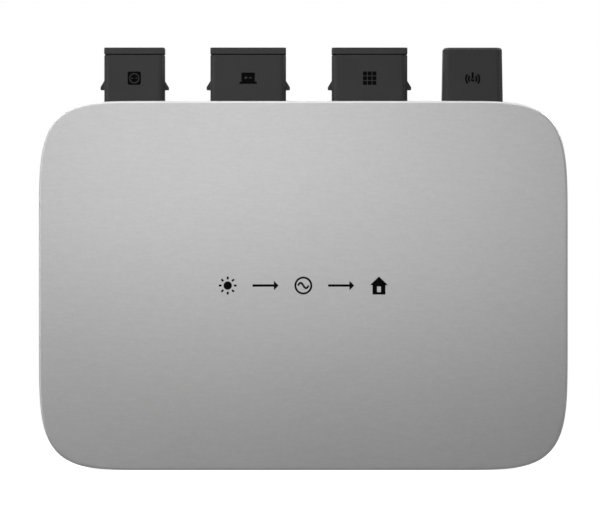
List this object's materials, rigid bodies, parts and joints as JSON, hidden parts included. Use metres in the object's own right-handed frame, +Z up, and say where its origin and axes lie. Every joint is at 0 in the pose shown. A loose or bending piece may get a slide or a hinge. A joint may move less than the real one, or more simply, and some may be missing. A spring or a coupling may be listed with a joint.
{
  "type": "micro inverter",
  "caption": "Flat wall-mounted solar micro inverter: silver rounded front cover on a finned heat sink, with capped plug sockets and a wireless block along its top edge.",
  "frame": {"origin": "centre of the four rear mounting holes, on the plane that rests on the wall", "axes": "+Z up towards the sockets, +X to the right seen from the front, +Y into the wall, so the front faces -Y"},
  "size_m": [0.242, 0.0295, 0.1936],
  "materials": {
    "silver_anodised": "bead-blasted and anodised, matt silver with a fine cross grain",
    "heat_sink_grey": "powder-coated dark grey, fine texture",
    "charcoal_plastic": "moulded, fine spark-eroded texture",
    "cap_elastomer": "moulded, matt",
    "socket_black": "moulded, matt",
    "contact_brass": "turned, plated",
    "black_rubber": "moulded, matt",
    "zinc_steel": "zinc plated",
    "label_film": "blank, satin",
    "light_pipe": "clear, frosted end",
    "circuit_board": "solder mask",
    "tin_plate": "stamped, plated",
    "thermal_pad": "soft, matt",
    "chip_black": "moulded epoxy",
    "ferrite": "sintered, matt",
    "bobbin_plastic": "moulded",
    "copper_wire": "enamelled copper",
    "capacitor_sleeve": "heat-shrunk sleeve",
    "film_capacitor_case": "moulded",
    "ceramic": "glazed ceramic",
    "varistor_coat": "dipped epoxy",
    "tape_yellow": "polyester tape",
    "film_amber": "thin polyester film"
  },
  "bodies": {
    "housing": {"front_cover": "silver_anodised", "rear_heat_sink": "heat_sink_grey", "housing_gasket": "black_rubber", "housing_screws": "zinc_steel", "housing_screw_seals": "black_rubber", "vent_plug": "charcoal_plastic", "vent_seal": "black_rubber", "vent_nut": "charcoal_plastic", "rating_label": "label_film", "status_light_pipe": "light_pipe", "status_led": "light_pipe", "grid_socket_shell": "charcoal_plastic", "grid_socket_insert": "socket_black", "grid_socket_pins": "contact_brass", "grid_flange_gasket": "black_rubber", "battery_socket_shell": "charcoal_plastic", "battery_socket_insert": "socket_black", "battery_socket_pins": "contact_brass", "battery_flange_gasket": "black_rubber", "solar_socket_shell": "charcoal_plastic", "solar_socket_insert": "socket_black", "solar_socket_pins": "contact_brass", "solar_flange_gasket": "black_rubber", "antenna_cover": "charcoal_plastic", "antenna_flange_gasket": "black_rubber", "antenna_board": "circuit_board", "antenna_shield_can": "tin_plate", "antenna_cable": "black_rubber", "flange_screws": "zinc_steel", "main_board": "circuit_board", "board_screws": "zinc_steel", "thermal_pads": "thermal_pad", "power_transistors": "chip_black", "transformer_cores": "ferrite", "transformer_bobbins": "bobbin_plastic", "transformer_windings": "copper_wire", "dc_capacitors": "capacitor_sleeve", "input_capacitors": "capacitor_sleeve", "film_capacitors": "film_capacitor_case", "relays": "chip_black", "fuse": "ceramic", "varistors": "varistor_coat", "current_sensor": "chip_black", "choke_core": "ferrite", "choke_windings": "copper_wire", "inductor_cores": "ferrite", "inductor_coils": "copper_wire", "driver_chips": "chip_black", "aux_transformer_core": "ferrite", "aux_transformer_coil": "tape_yellow", "control_board": "circuit_board", "control_chip": "chip_black", "board_headers": "chip_black", "insulating_film": "film_amber"},
    "grid_cap": {"grid_dust_cap": "cap_elastomer", "grid_cap_seal": "black_rubber"},
    "battery_cap": {"battery_dust_cap": "cap_elastomer", "battery_cap_seal": "black_rubber"},
    "solar_cap": {"solar_dust_cap": "cap_elastomer", "solar_cap_seal": "black_rubber"}
  },
  "joints": [
    {"name": "grid_cap_pull", "type": "slide", "parent": "housing", "child": "grid_cap", "axis": [0, 0, 1], "range_m": [0, 0.03]},
    {"name": "battery_cap_pull", "type": "slide", "parent": "housing", "child": "battery_cap", "axis": [0, 0, 1], "range_m": [0, 0.03]},
    {"name": "solar_cap_pull", "type": "slide", "parent": "housing", "child": "solar_cap", "axis": [0, 0, 1], "range_m": [0, 0.03]}
  ]
}
